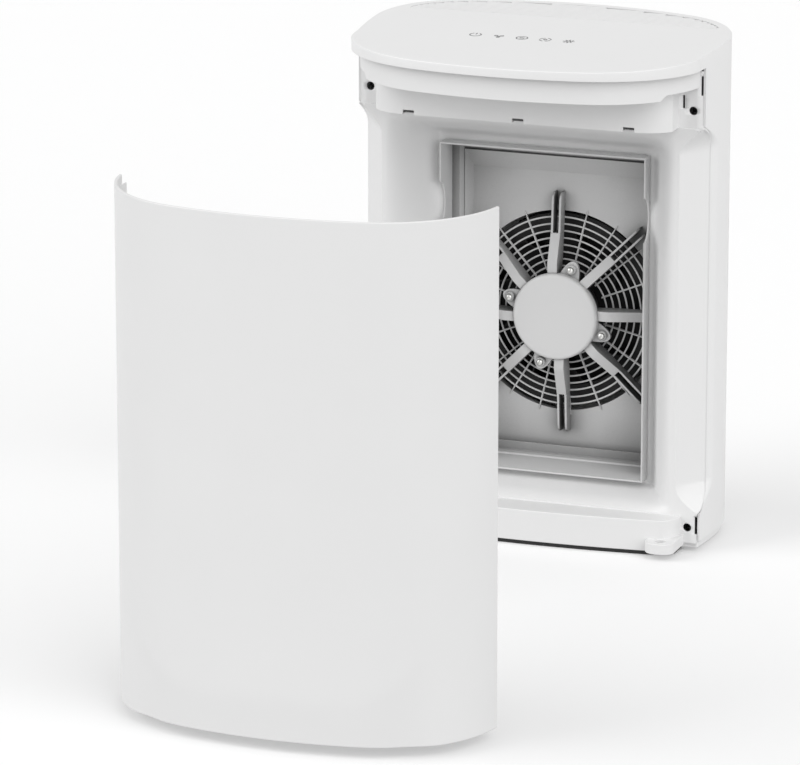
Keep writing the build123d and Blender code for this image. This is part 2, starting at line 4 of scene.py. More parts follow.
import bmesh
import bpy
from mathutils import Euler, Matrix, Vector


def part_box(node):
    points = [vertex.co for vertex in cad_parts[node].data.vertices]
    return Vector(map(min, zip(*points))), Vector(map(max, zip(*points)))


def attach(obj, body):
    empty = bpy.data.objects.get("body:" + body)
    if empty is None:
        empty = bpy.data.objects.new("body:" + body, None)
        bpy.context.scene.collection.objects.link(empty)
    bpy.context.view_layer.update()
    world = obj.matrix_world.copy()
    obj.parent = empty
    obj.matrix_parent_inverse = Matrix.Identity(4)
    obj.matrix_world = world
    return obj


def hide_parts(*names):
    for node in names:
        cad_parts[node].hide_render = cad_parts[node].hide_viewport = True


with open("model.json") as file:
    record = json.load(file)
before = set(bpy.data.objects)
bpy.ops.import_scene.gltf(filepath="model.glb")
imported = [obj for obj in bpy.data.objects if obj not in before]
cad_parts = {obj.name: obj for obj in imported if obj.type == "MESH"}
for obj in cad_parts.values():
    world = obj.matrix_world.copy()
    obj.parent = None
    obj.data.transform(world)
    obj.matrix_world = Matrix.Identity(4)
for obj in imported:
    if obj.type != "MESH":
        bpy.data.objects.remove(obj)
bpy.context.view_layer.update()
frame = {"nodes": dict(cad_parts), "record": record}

MM = 0.001

# Driving dimensions, in millimetres, as the CAD part states them
HALF_WIDTH_FRONT = 184.7
FRONT_RADIUS = 450.0
COVER_SWEEP = 12.0
LID_SWEEP = 11.1
JOINT_ANGLE = 83.0
SIDE_RADIUS = 500.0
REAR_CORNER_RADIUS = 92.0
REAR_RADIUS = 455.0
LID_SLOPE = 0.045
SKIN = 2.6
FAN_Z = 211.1
DISH_Y = 55.0  # where the dish around the filter bay is deepest


def low(node, axis):
    """Lowest coordinate of a CAD node on an axis, in millimetres."""
    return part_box(node)[0]["xyz".index(axis)] / MM


def high(node, axis):
    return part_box(node)[1]["xyz".index(axis)] / MM


SKIN_BOTTOM = low("housing_shell", "z")
LID_TOP = high("housing_shell", "z")
REAR_Y = high("housing_shell", "y")
LID_UNDERSIDE = 503.7
COVER_TOP = high("front_cover", "z")
COVER_HOME = high("front_cover", "y")  # Y of the cover's two ends where it stands
HUB_Y = low("motor_cover", "y")
HUB_R = high("motor_cover", "x")
PLATE_Y = low("fan_plate", "y")


# ---------- outline

def normal_at(angle):
    return Vector((sin(radians(angle)), -cos(radians(angle))))


def outline_arcs(sweep):
    """Right-hand half of the plan outline, front to back: centre, radius, first and last angle."""
    corner = (HALF_WIDTH_FRONT - FRONT_RADIUS * sin(radians(sweep))) / (
        sin(radians(JOINT_ANGLE)) - sin(radians(sweep)))
    joint = Vector((HALF_WIDTH_FRONT, 0))
    corner_centre = joint - normal_at(JOINT_ANGLE) * corner
    front_centre = corner_centre + normal_at(sweep) * (corner - FRONT_RADIUS)
    side_centre = joint - normal_at(JOINT_ANGLE) * SIDE_RADIUS
    rear_corner_centre = side_centre + normal_at(90) * (SIDE_RADIUS - REAR_CORNER_RADIUS)
    rear_angle = degrees(asin(rear_corner_centre.x / (REAR_RADIUS - REAR_CORNER_RADIUS)))
    rear_centre = rear_corner_centre + normal_at(180 - rear_angle) * (REAR_CORNER_RADIUS - REAR_RADIUS)
    return [
        (front_centre, FRONT_RADIUS, 0, sweep),
        (corner_centre, corner, sweep, JOINT_ANGLE),
        (side_centre, SIDE_RADIUS, JOINT_ANGLE, 90),
        (rear_corner_centre, REAR_CORNER_RADIUS, 90, 180 - rear_angle),
        (rear_centre, REAR_RADIUS, 180 - rear_angle, 180),
    ]


def arc_stations(arcs, counts):
    """Places along some arcs as (centre, radius, angle), each arc cut into its count."""
    stations = []
    for (centre, radius, first, last), count in zip(arcs, counts):
        for step in range(count):
            stations.append((centre, radius, first + (last - first) * step / count))
    centre, radius, first, last = arcs[len(counts) - 1]
    stations.append((centre, radius, last))
    return stations


def station_point(station, inset, side=1):
    centre, radius, angle = station
    point = centre + normal_at(angle) * (radius - inset)
    return side * point.x, point.y


def outline_x(y, inset=0.0):
    """Half width of the housing at a depth y behind the joint."""
    for centre, radius, first, last in outline_arcs(COVER_SWEEP)[2:]:
        reach = radius - inset
        across = reach * reach - (y - centre.y) ** 2
        if across > 0 and y <= centre.y - cos(radians(last)) * reach + 0.01:
            return centre.x + sqrt(across)
    return 0.0


def top_height(y):
    return LID_TOP + LID_SLOPE * (y - REAR_Y)


def smooth(t):
    t = min(max(t, 0.0), 1.0)
    return t * t * (3 - 2 * t)


# ---------- mesh helpers

def link(name, mesh):
    piece = bpy.data.objects.new(name, mesh)
    bpy.context.scene.collection.objects.link(piece)
    return piece


def finish_mesh(build, piece, sharp):
    """Cleans a bmesh into the piece's mesh, shaded smooth except at edges sharper than sharp degrees."""
    bmesh.ops.remove_doubles(build, verts=build.verts, dist=0.00001)
    bmesh.ops.recalc_face_normals(build, faces=build.faces)
    build.to_mesh(piece.data)
    build.free()
    piece.data.polygons.foreach_set("use_smooth", [True] * len(piece.data.polygons))
    if sharp:
        piece.data.set_sharp_from_angle(angle=radians(sharp))


def make_piece(name, points, faces, material, sharp=0.0):
    """A mesh piece from points in millimetres."""
    mesh = bpy.data.meshes.new(name)
    mesh.from_pydata([(x * MM, y * MM, z * MM) for x, y, z in points], [], faces)
    piece = link(name, mesh)
    build = bmesh.new()
    build.from_mesh(mesh)
    finish_mesh(build, piece, sharp)
    mesh.materials.append(material)
    return piece


def bevel(piece, width, segments=3, angle=35):
    edge = piece.modifiers.new("rounded_edges", "BEVEL")
    edge.width = width * MM
    edge.segments = segments
    edge.limit_method = "ANGLE"
    edge.angle_limit = radians(angle)
    edge.harden_normals = True


def thicken(piece, depth):
    """Gives a one-sided skin a wall on the side that its faces turn away from."""
    wall = piece.modifiers.new("wall", "SOLIDIFY")
    wall.thickness = depth * MM
    wall.offset = -1.0
    wall.use_even_offset = True


def grid_faces(rows, columns, closed=False, skip=None):
    faces = []
    last = columns if closed else columns - 1
    for row in range(rows - 1):
        for column in range(last):
            if skip and skip(row, column):
                continue
            after = (column + 1) % columns
            faces.append((row * columns + column, row * columns + after,
                          (row + 1) * columns + after, (row + 1) * columns + column))
    return faces


def add_faces(faces, base, strip):
    """Adds faces whose corners count from a base."""
    faces += [tuple(base + corner for corner in face) for face in strip]


def add_loft(points, faces, sections):
    """Joins closed sections with equal numbers of points, and closes both ends."""
    base = len(points)
    size = len(sections[0])
    last = base + size * (len(sections) - 1)
    for section in sections:
        points += section
    add_faces(faces, base, grid_faces(len(sections), size, closed=True))
    faces.append(tuple(range(base + size - 1, base - 1, -1)))
    faces.append(tuple(range(last, last + size)))


def add_box(points, faces, x0, x1, y0, y1, z0, z1):
    """A box as a loft, from its lower to its upper rectangle."""
    add_loft(points, faces, [[(x0, y0, z), (x1, y0, z), (x1, y1, z), (x0, y1, z)] for z in (z0, z1)])


def bezier(a, b, c, d, count):
    """Points along a cubic curve, both ends included."""
    points = []
    for step in range(count + 1):
        t = step / count
        weights = ((1 - t) ** 3, 3 * t * (1 - t) ** 2, 3 * t * t * (1 - t), t ** 3)
        points.append(tuple(sum(w * p[axis] for w, p in zip(weights, (a, b, c, d))) for axis in (0, 1)))
    return points


def circle_points(centre, radius, start=0.0, end=360.0, count=40):
    points = []
    for step in range(count + 1):
        turn = radians(start + (end - start) * step / count)
        points.append((centre[0] + radius * cos(turn), centre[1] + radius * sin(turn)))
    return points


def apply_modifiers(piece):
    bpy.context.view_layer.update()
    graph = bpy.context.evaluated_depsgraph_get()
    mesh = bpy.data.meshes.new_from_object(piece.evaluated_get(graph))
    piece.modifiers.clear()
    piece.data = mesh


def cut_away(piece, points, faces):
    """Takes a closed shape away from a piece."""
    cutter = make_piece("cutter", points, faces, piece.data.materials[0])
    cut = piece.modifiers.new("cut", "BOOLEAN")
    cut.operation = "DIFFERENCE"
    cut.solver = "EXACT"
    cut.object = cutter
    apply_modifiers(piece)
    bpy.data.objects.remove(cutter)


def declare(piece, body, slot, *nodes):
    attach(piece, body)
    if nodes:
        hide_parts(*nodes)


def turned(name, profile, centre, material, segments=96):
    """A profile of (radius, y) pairs turned about the fan's axis."""
    points = []
    for radius, y in profile:
        for step in range(segments):
            turn = 2 * pi * step / segments
            points.append((centre[0] + radius * cos(turn), y, centre[1] + radius * sin(turn)))
    return make_piece(name, points, grid_faces(len(profile), segments, closed=True), material)


def extruded(name, outline, bottom, top, material, rounding=0.0, segments=3):
    """A plan outline of (x, y) points raised from bottom to top."""
    points = []
    faces = []
    add_loft(points, faces, [[(x, y, z) for x, y in outline] for z in (bottom, top)])
    piece = make_piece(name, points, faces, material)
    if rounding:
        bevel(piece, rounding, segments)
    return piece


# ---------- materials

# Painted shade: the base colour is darkened in hollows between these Y values, over SHADE_REACH
SHADE_Y = (DISH_Y - 1.0, DISH_Y + 12.0)  # Y between which the shading of hollows sets in
SHADE_REACH = 0.08  # metres over which a hollow counts as one
GRAIN_SCALE = 900.0


def new_material(name):
    material = bpy.data.materials.new(name)
    material.use_nodes = True
    return material, material.node_tree.nodes["Principled BSDF"]


def set_inputs(material, node, values):
    """Sets a node's inputs by name, each to a value or to another node's output."""
    for name, value in values.items():
        if isinstance(value, bpy.types.NodeSocket):
            material.node_tree.links.new(value, node.inputs[name])
        else:
            node.inputs[name].default_value = value


def add_node(material, kind, values):
    node = material.node_tree.nodes.new("ShaderNode" + kind)
    set_inputs(material, node, values)
    return node


def add_mix(material, blend, values):
    """Mixes two colours, and gives back the result's socket."""
    mix = material.node_tree.nodes.new("ShaderNodeMix")
    mix.data_type = "RGBA"
    mix.blend_type = blend
    set_inputs(material, mix, values)
    return mix.outputs["Result"]


def add_noise(material, place, scale, detail):
    return add_node(material, "TexNoise", {"Vector": place, "Scale": scale, "Detail": detail}).outputs["Fac"]


def add_range(material, value, low_end, high_end):
    """Spreads a value from 0 to 1 over a range."""
    values = {"Value": value, "To Min": low_end, "To Max": high_end}
    return add_node(material, "MapRange", values).outputs["Result"]


def plastic(name, colour, roughness, grain=0.03, tone=0.012, coat=0.0, shade_depth=0.0):
    """Moulded plastic: a faint uneven tone, uneven gloss and fine spark-eroded grain; with shade_depth,
    painted shade darkens its hollows.
    """
    material, shader = new_material(name)
    place = add_node(material, "TexCoord", {}).outputs["Object"]
    tint = add_range(material, add_noise(material, place, 14.0, 3.0), 1.0 - tone, 1.0 + tone)
    base = add_mix(material, "MULTIPLY", {"Factor": 1.0, "A": (*colour, 1.0), "B": tint})
    # painted shade: a darker base colour in corners and hollows behind the bay's rim
    if shade_depth:
        base = paint_hollow_shade(material, base, shade_depth)
    speckle = add_noise(material, place, GRAIN_SCALE, 2.0)
    relief = add_node(material, "Bump", {"Strength": grain, "Distance": 0.0002, "Height": speckle})
    set_inputs(material, shader, {
        "Base Color": base,
        "Roughness": add_range(material, speckle, roughness - 0.05, roughness + 0.05),
        "Normal": relief.outputs["Normal"],
        "IOR": 1.5,
        "Coat Weight": coat,
        "Coat Roughness": 0.25,
    })
    return material


def paint_hollow_shade(material, base, shade_depth):
    """Painted shade: darkens the colour in corners and between ribs, from the bay's rim inwards, where shade
    falls; not dirt.
    """
    hollow = add_node(material, "AmbientOcclusion", {"Distance": SHADE_REACH})
    hollow.samples = 8
    depth = add_node(material, "MapRange", {
        "Value": hollow.outputs["AO"], "From Min": 0.15, "From Max": 0.75,
        "To Min": 1.0 - shade_depth, "To Max": 1.0,
    })
    place = add_node(material, "NewGeometry", {}).outputs["Position"]
    behind_rim = add_node(material, "MapRange", {
        "Value": add_node(material, "SeparateXYZ", {"Vector": place}).outputs["Y"],
        "From Min": SHADE_Y[0] * MM, "From Max": SHADE_Y[1] * MM,
    })
    return add_mix(material, "MULTIPLY", {
        "Factor": behind_rim.outputs["Result"], "A": base, "B": depth.outputs["Result"],
    })


def metal(name, colour, roughness, stretch=(1.0, 1.0, 1.0)):
    """Plated or cast metal with fine directional scratches in its gloss."""
    material, shader = new_material(name)
    place = add_node(material, "TexCoord", {}).outputs["Object"]
    stretched = add_node(material, "Mapping", {"Vector": place, "Scale": stretch}).outputs["Vector"]
    scratch = add_noise(material, stretched, 700.0, 4.0)
    dull = (*[part * 0.85 for part in colour], 1.0)
    set_inputs(material, shader, {
        "Base Color": add_mix(material, "MIX", {"Factor": scratch, "A": dull, "B": (*colour, 1.0)}),
        "Roughness": add_range(material, scratch, roughness - 0.08, roughness + 0.12),
        "Metallic": 1.0,
    })
    return material


WHITE_COVER = plastic("white_cover", (0.73, 0.73, 0.73), 0.42, coat=0.1)
WHITE_SHELL = plastic("white_shell", (0.76, 0.76, 0.76), 0.42, coat=0.1)
WHITE_CHASSIS = plastic("white_chassis", (0.75, 0.75, 0.75), 0.5, grain=0.06)
# The bay and the bracket carry painted shade in their corners and between ribs, set by shade_depth
GREY_BAY = plastic("grey_bay", (0.61, 0.61, 0.61), 0.55, grain=0.08, shade_depth=0.8)
GUARD_WHITE = plastic("guard_white", (0.68, 0.68, 0.68), 0.45)
BRACKET_GREY = plastic("bracket_grey", (0.60, 0.60, 0.60), 0.4, shade_depth=0.9)
# Near-black: painted shade for the shadow that the impeller sits in behind the guard
IMPELLER_DARK = plastic("impeller_dark", (0.006, 0.006, 0.006), 0.6)
ICON_GREY = plastic("icon_grey", (0.09, 0.09, 0.093), 0.5, tone=0.04)
GLAND_RUBBER = plastic("gland_rubber", (0.55, 0.55, 0.545), 0.75, grain=0.1)
# Black rubber, which also serves as painted shade where the foot strip fills the shadow gap under the ledge
FOOT_RUBBER_AND_SHADE = plastic("foot_rubber", (0.02, 0.02, 0.02), 0.8, grain=0.12)
CIRCUIT_BOARD = plastic("circuit_board", (0.02, 0.12, 0.04), 0.35)
SCREW_STEEL = metal("screw_steel", (0.80, 0.80, 0.78), 0.3)
DARK_SCREW = metal("dark_screw", (0.03, 0.03, 0.03), 0.45)
MOTOR_METAL = metal("motor_metal", (0.35, 0.35, 0.36), 0.45)
BEARING_STEEL = metal("bearing_steel", (0.62, 0.62, 0.64), 0.2, (0.05, 1.0, 0.05))

SLOT_MATERIALS = {
    "white_shell": WHITE_SHELL, "white_cover": WHITE_COVER, "white_chassis": WHITE_CHASSIS,
    "grey_bay": GREY_BAY, "guard_white": GUARD_WHITE, "bracket_grey": BRACKET_GREY,
    "impeller_dark": IMPELLER_DARK, "icon_grey": ICON_GREY, "screw_steel": SCREW_STEEL,
    "dark_screw": DARK_SCREW, "motor_metal": MOTOR_METAL, "bearing_steel": BEARING_STEEL,
    "foot_rubber": FOOT_RUBBER_AND_SHADE, "gland_rubber": GLAND_RUBBER, "circuit_board": CIRCUIT_BOARD,
}


def dress_cad_nodes():
    """Every CAD node gets the procedural material of its slot in the record."""
    for part in frame["record"]["subparts"]:
        node = frame["nodes"][part["node"]]
        node.data.materials.clear()
        node.data.materials.append(SLOT_MATERIALS[part["material_slot"]])


# ---------- front cover

CREASE_Z = 51.5  # lowest point of the faint crease across the cover's foot
CREASE_FLAT = 70.0  # half width of its level middle
CREASE_RISE = 65.0  # how much further out it runs while it turns upwards
CREASE_CURL = (42.0, 2.3)   # how high it has turned there, and the power it turns by
CREASE_FADE = (1.3, 0.5)  # where the crease has faded out and over what width, in CREASE_RISE
CREASE_TILT = 0.07  # slope of the surface under the crease
CREASE_SOFTNESS = 7.0
COVER_WALL = 3.2
COVER_ROWS = 132


def crease_recess(x, z):
    """How far the cover's foot is drawn in under its U-shaped crease."""
    beyond = max(abs(x) - CREASE_FLAT, 0.0) / CREASE_RISE
    under = CREASE_Z + CREASE_CURL[0] * beyond ** CREASE_CURL[1] - z
    if under < CREASE_SOFTNESS:
        under = max(under + CREASE_SOFTNESS, 0.0) ** 2 / (4 * CREASE_SOFTNESS)
    end, width = CREASE_FADE
    fade = smooth((CREASE_FLAT + end * CREASE_RISE - abs(x)) / (width * CREASE_RISE))
    return under * CREASE_TILT * fade


def make_front_cover():
    """The bowed panel: each row of points runs along its outside and back along its inside."""
    stations = arc_stations(outline_arcs(COVER_SWEEP)[:2], (48, 40))
    mirrored = [(station, -1) for station in reversed(stations)] + [(station, 1) for station in stations[1:]]
    columns = len(mirrored)
    points = []
    for row in range(COVER_ROWS):
        z = SKIN_BOTTOM + (COVER_TOP - SKIN_BOTTOM) * row / (COVER_ROWS - 1)
        for inset, order in ((0.0, mirrored), (COVER_WALL, mirrored[::-1])):
            for station, side in order:
                recess = crease_recess(station_point(station, inset, side)[0], z)
                x, y = station_point(station, inset + recess, side)
                points.append((x, y + COVER_HOME, z))
    size = 2 * columns
    faces = grid_faces(COVER_ROWS, size, closed=True)
    for start in (0, (COVER_ROWS - 1) * size):
        add_faces(faces, start, [(left, left + 1, size - 2 - left, size - 1 - left)
                                 for left in range(columns - 1)])
    cover = make_piece("cover_panel", points, faces, WHITE_COVER)
    bevel(cover, 1.1, 3, 50)
    declare(cover, "cover", "white_cover", "front_cover")


# ---------- housing

RAMP_X = 158.0  # the ramp's straight ridge
RAMP_DEPTH = 31.4  # how far back it meets the housing wall
RAMP_Z = (68.3, 414.0)  # its straight stretch
RAMP_TIPS = (40.0, 443.0)
EDGE_BLEND = 6.0  # soft edge between ramp and wall
LID_OVERHANG = 4.2  # how far the lip stands out over the housing's front corners
OVERHANG_GROWS = (15, 45)  # angle of the outline's normal where it starts, and over which it grows
OVERHANG_FADES = (68, 15)
LID_EDGE_R = 1.0
LID_EDGE_STEPS = 4
OUTLET_FRONT = 98.0
OUTLET_INSET = 9.0
OUTLET_HALF_WIDTH = 165.0
WALL_STEP = 3.0
WALL_CROWDING = 1.5  # above 1, the wall's grid is finer towards its front edge


def ramp_share(z):
    """How deep the ramp's outer edge is at a height, from 0 at its tips to 1."""
    if z <= RAMP_TIPS[0] or z >= RAMP_TIPS[1]:
        return 0.0
    if z < RAMP_Z[0]:
        return (z - RAMP_TIPS[0]) / (RAMP_Z[0] - RAMP_TIPS[0])
    if z > RAMP_Z[1]:
        return 1.0 - ((z - RAMP_Z[1]) / (RAMP_TIPS[1] - RAMP_Z[1])) ** 2
    return 1.0


def lid_overhang(angle):
    """How far the lip stands out over the outline where its normal has this angle."""
    grown = smooth((angle - OVERHANG_GROWS[0]) / OVERHANG_GROWS[1])
    faded = smooth((angle - OVERHANG_FADES[0]) / OVERHANG_FADES[1])
    return LID_OVERHANG * grown * (1 - faded)


def heights(marks, step):
    """Heights between some marks, no further apart than step."""
    result = [marks[0]]
    for first, last in zip(marks, marks[1:]):
        count = max(1, round((last - first) / step))
        for index in range(1, count + 1):
            result.append(first + (last - first) * index / count)
    return result


def ring_order(count):
    """Stations round the whole outline: front middle, right side, back, left side."""
    order = [(index, 1) for index in range(count)]
    order += [(index, -1) for index in range(count - 2, 0, -1)]
    return order


def lid_mesh():
    """Points and faces of the lid and its lip, with each ring of points from the outlet outwards."""
    front = arc_stations(outline_arcs(LID_SWEEP)[:2], (26, 34))[:-1]
    side_arc, corner_arc, back_arc = outline_arcs(LID_SWEEP)[2:]
    centre, radius, first, last = corner_arc
    split = 180 - degrees(asin((OUTLET_HALF_WIDTH - centre.x) / (radius - OUTLET_INSET)))
    rear_arcs = [side_arc, (centre, radius, first, split), (centre, radius, split, last), back_arc]
    rear = arc_stations(rear_arcs, (26, 16, 18, 24))
    stations = front + rear
    count = len(stations)
    ring_size = 2 * count - 2
    points = []
    profile = [(OUTLET_INSET, 0.0), (LID_EDGE_R + 2.0, 0.0)]
    for step in range(LID_EDGE_STEPS + 1):
        turn = radians(90 * step / LID_EDGE_STEPS)
        profile.append((LID_EDGE_R * (1 - sin(turn)), LID_EDGE_R * (1 - cos(turn))))
    profile.append((0.0, None))
    rings = []
    for inset, drop in profile:
        ring = []
        for index, side in ring_order(count):
            overhang = lid_overhang(stations[index][2]) if inset < OUTLET_INSET else 0.0
            x, y = station_point(stations[index], inset - overhang, side)
            z = LID_UNDERSIDE if drop is None else top_height(y) - drop
            ring.append(len(points))
            points.append((x, y, z))
        rings.append(ring)
    faces = []
    for upper, lower in zip(rings, rings[1:]):
        for index in range(ring_size):
            after = (index + 1) % ring_size
            faces.append((upper[index], lower[index], lower[after], upper[after]))
    right = []
    left = []
    for corner, (_, side) in zip(rings[0], ring_order(count)):
        x, y, _ = points[corner]
        if y < OUTLET_FRONT or abs(x) > OUTLET_HALF_WIDTH - 0.01:
            (right if side > 0 else left).append(corner)
    outlet_corners = [len(points), len(points) + 1]
    for x in (OUTLET_HALF_WIDTH, -OUTLET_HALF_WIDTH):
        points.append((x, OUTLET_FRONT, top_height(OUTLET_FRONT)))
    faces.append(tuple(right + outlet_corners + left))
    return points, faces, rings, stations


def add_wall(points, faces, rings, stations):
    """Continues the lid's lower ring down the sides and the back, cut back at the air ramps."""
    order = ring_order(len(stations))
    start = next(index for index, (_, _, angle) in enumerate(stations) if angle >= JOINT_ANGLE)
    kept = [position for position, (index, _) in enumerate(order) if index >= start]
    marks = [SKIN_BOTTOM, RAMP_TIPS[0], RAMP_Z[0], RAMP_Z[1], RAMP_TIPS[1], LID_UNDERSIDE]
    levels = list(reversed(heights(marks, WALL_STEP)))
    previous = [rings[-1][position] for position in kept]
    centre, radius, first, last = outline_arcs(LID_SWEEP)[2]
    rear_start = next(index for index, (_, _, angle) in enumerate(stations) if angle >= 90)
    for z in levels[1:]:
        share = ramp_share(z)
        depth = RAMP_DEPTH * share
        blend = EDGE_BLEND * share ** 2
        cut = degrees(asin((depth - blend - centre.y) / radius)) + 90
        row = []
        for position in kept:
            index, side = order[position]
            station = stations[index]
            inset = 0.0
            if index < rear_start:
                along = ((station[2] - first) / (last - first)) ** WALL_CROWDING
                station = (centre, radius, cut + (last - cut) * along)
                behind = station_point(station, 0.0)[1] - depth
                if blend > 0 and behind < blend:
                    inset = RAMP_SLOPE * (blend - behind) ** 2 / (4 * blend)
            x, y = station_point(station, inset, side)
            row.append(len(points))
            points.append((x, y, z))
        for index in range(len(row) - 1):
            faces.append((previous[index], row[index], row[index + 1], previous[index + 1]))
        previous = row


def make_housing():
    """Sides, back and lid as one skin."""
    points, faces, rings, stations = lid_mesh()
    add_wall(points, faces, rings, stations)
    shell = make_piece("housing_skin", points, faces, WHITE_SHELL)
    thicken(shell, SKIN)
    bevel(shell, 0.45, 2, 50)
    declare(shell, "housing", "white_shell", "housing_shell")


# ---------- chassis

CHASSIS_BOTTOM = 8.3
CHASSIS_TOP = 500.0
DISH_X = (155.0, 114.0)  # where the dish starts to fall away and where its floor starts
DISH_LOW = (37.0, 50.0)
DISH_HIGH = (436.0, 404.0)
POCKET_Z = 438.5
POCKET_DEPTH = 2.0
RAIL_HALF_WIDTH = 157.5
BAY_OUTER_X = high("filter_bay", "x")
BAY_OUTER_Z = (low("filter_bay", "z"), high("filter_bay", "z"))
CHASSIS_GAP = 2.8
SEAM = 0.15  # gap between chassis and housing wall along the ramps
ARCH_POWER = 1.43
RAMP_SLOPE = 0.968  # width of the ramp over its depth
SCREW_X = 171.9
SCREW_Z = (25.6, 458.9)
SCREW_HOLE_R = 4.4
SLIT_X = (179.7, 181.9)
SLITS_Z = ((19.0, 38.0), (475.0, 495.0))
HOOK_SLIT = (160.9, 163.1, 461.0, 474.5)
CUT_Y = (-4, 9)  # how far the hole cutters reach through the skin
CHASSIS_WALL = 2.4
CHASSIS_STEP = 2.5
COLUMNS = (24, 4, 12, 16)   # grid columns over the dish, the shoulder, the ramp and half the bay
SEAM_GROWS = 0.12  # share of the ramp's depth over which the gap narrows to the seam


def ridge_share(z):
    """How far the ridge has moved out to the edge at a height, from 0 to 1 at the tips."""
    if z < RAMP_Z[0]:
        return (max(RAMP_Z[0] - z, 0.0) / (RAMP_Z[0] - RAMP_TIPS[0])) ** 2
    if z > RAMP_Z[1]:
        return (max(z - RAMP_Z[1], 0.0) / (RAMP_TIPS[1] - RAMP_Z[1])) ** ARCH_POWER
    return 0.0


def ridge_x(z):
    reach = outline_x(0.0, CHASSIS_GAP) - RAMP_X
    return RAMP_X + reach * min(ridge_share(z), 1.0)


def ramp_depth(x, z):
    """Depth of the ramp's face: flat, a ruled facet at its foot, and a scooped arch at its top."""
    full = RAMP_DEPTH * max(x - RAMP_X, 0.0) / (outline_x(RAMP_DEPTH) - RAMP_X)
    out = min(max(x - RAMP_X, 0.0) / (outline_x(0.0, CHASSIS_GAP) - RAMP_X), 1.0)
    if z < RAMP_Z[0]:
        foot = RAMP_Z[0] - (RAMP_Z[0] - RAMP_TIPS[0]) * sqrt(out)
        return full * max(z - foot, 0.0) / max(RAMP_Z[0] - foot, 0.001)
    if z > RAMP_Z[1]:
        crown = RAMP_Z[1] + (RAMP_TIPS[1] - RAMP_Z[1]) * out ** (1 / ARCH_POWER)
        left = min((z - RAMP_Z[1]) / max(crown - RAMP_Z[1], 0.001), 1.0)
        return full * (1 - left ** 2)
    return full


def dish_depth(x, z):
    across = (DISH_X[0] - abs(x)) / (DISH_X[0] - DISH_X[1])
    up = (z - DISH_LOW[0]) / (DISH_LOW[1] - DISH_LOW[0])
    down = (DISH_HIGH[0] - z) / (DISH_HIGH[0] - DISH_HIGH[1])
    return DISH_Y * smooth(across) * smooth(up) * smooth(down)


def chassis_columns(z):
    """Half widths of the chassis's grid lines at a height, from the bay outwards."""
    ridge = ridge_x(z)
    share = ramp_share(z)
    near_wall = smooth(share / SEAM_GROWS)
    seam = CHASSIS_GAP * (1 - near_wall) + (RAMP_SLOPE * EDGE_BLEND * share ** 2 + SEAM) * near_wall
    edge = outline_x(RAMP_DEPTH * share, seam)
    columns = [BAY_OUTER_X]
    for reach, count in zip((DISH_X[0], ridge, edge), COLUMNS):
        start = columns[-1]
        columns += [start + (reach - start) * step / count for step in range(1, count + 1)]
    return columns, ridge


def chassis_depth(x, z, ridge):
    depth = dish_depth(x, z)
    if abs(x) > ridge:
        depth = ramp_depth(abs(x), z)
    if z > POCKET_Z and abs(x) > RAIL_HALF_WIDTH:
        depth = max(depth, POCKET_DEPTH)
    return depth


def make_chassis():
    marks = [CHASSIS_BOTTOM, DISH_LOW[0], BAY_OUTER_Z[0], RAMP_Z[0], BAY_OUTER_Z[1], RAMP_Z[1],
             POCKET_Z, POCKET_Z + 0.3, CHASSIS_TOP]
    levels = heights(marks, CHASSIS_STEP)
    half = COLUMNS[-1]
    middle = [BAY_OUTER_X * step / half for step in range(1 - half, half)]
    points = []
    for z in levels:
        outer, ridge = chassis_columns(z)
        for x in [-value for value in reversed(outer)] + middle + outer:
            points.append((x, chassis_depth(x, z, ridge), z))
    side_count = len(chassis_columns(levels[0])[0])
    columns = 2 * side_count + len(middle)

    def in_bay(row, column):
        above = BAY_OUTER_Z[0] <= levels[row] + 0.01
        below = levels[row + 1] - 0.01 <= BAY_OUTER_Z[1]
        return above and below and side_count - 1 <= column < columns - side_count

    faces = grid_faces(len(levels), columns, skip=in_bay)
    panel = make_piece("chassis_front", points, faces, WHITE_CHASSIS, sharp=28)
    thicken(panel, CHASSIS_WALL)        # this wall comes out on the front side of the grid
    cut_holes(panel)
    declare(panel, "housing", "white_chassis", "chassis_panel")


def cut_holes(panel):
    """Screw holes and tab slits, cut through the chassis skin."""
    points = []
    faces = []
    for side in (-1, 1):
        for x0, x1, z0, z1 in [(*SLIT_X, *span) for span in SLITS_Z] + [HOOK_SLIT]:
            add_box(points, faces, side * x0, side * x1, *CUT_Y, z0, z1)
        for z in SCREW_Z:
            ring = circle_points((side * SCREW_X, z), SCREW_HOLE_R, count=32)[:-1]
            add_loft(points, faces, [[(px, y, pz) for px, pz in ring] for y in CUT_Y])
    cut_away(panel, points, faces)


# ---------- upper parts

BAND_INSET = 4.8
BAND_WALL = 3.0
BAND_BOTTOM = low("control_housing", "z")
BAND_END_BOTTOM = 484.0  # the band is narrower outside BAND_END_X
BAND_END_X = 157.5
BAND_TOP = 508.0
BAND_BACK = -3.0
BAND_STEP = 4.0  # width over which its lower edge steps up
BAND_FLOOR = (0.5, 3.5)  # bottom and top of the floor in it, above BAND_END_BOTTOM
RAIL_FLAT = 116.0
RAIL_FRONT = -40.0
RAIL_SIDE = -23.0
RAIL_BOTTOM = low("latch_rail", "z")
NOTCHES_X = (-116.6, 0, 116.6)
NOTCH = (12.0, 5.0, 8.0)  # width, height, depth
CUT_PAST = 5.0  # how far the notch cutters stand out
HOLLOW_BACK = -5.0  # Y where the hollow behind a notch ends
HOLLOW_FLOOR = 1.2


def front_stations(counts, back, inset):
    """Stations of the right front outline from the middle to where it crosses Y = back."""
    front, corner = outline_arcs(COVER_SWEEP)[:2]
    centre, radius, first, _ = corner
    last = degrees(asin((back - centre.y) / (radius - inset))) + 90
    return arc_stations([front, (centre, radius, first, last)], counts)


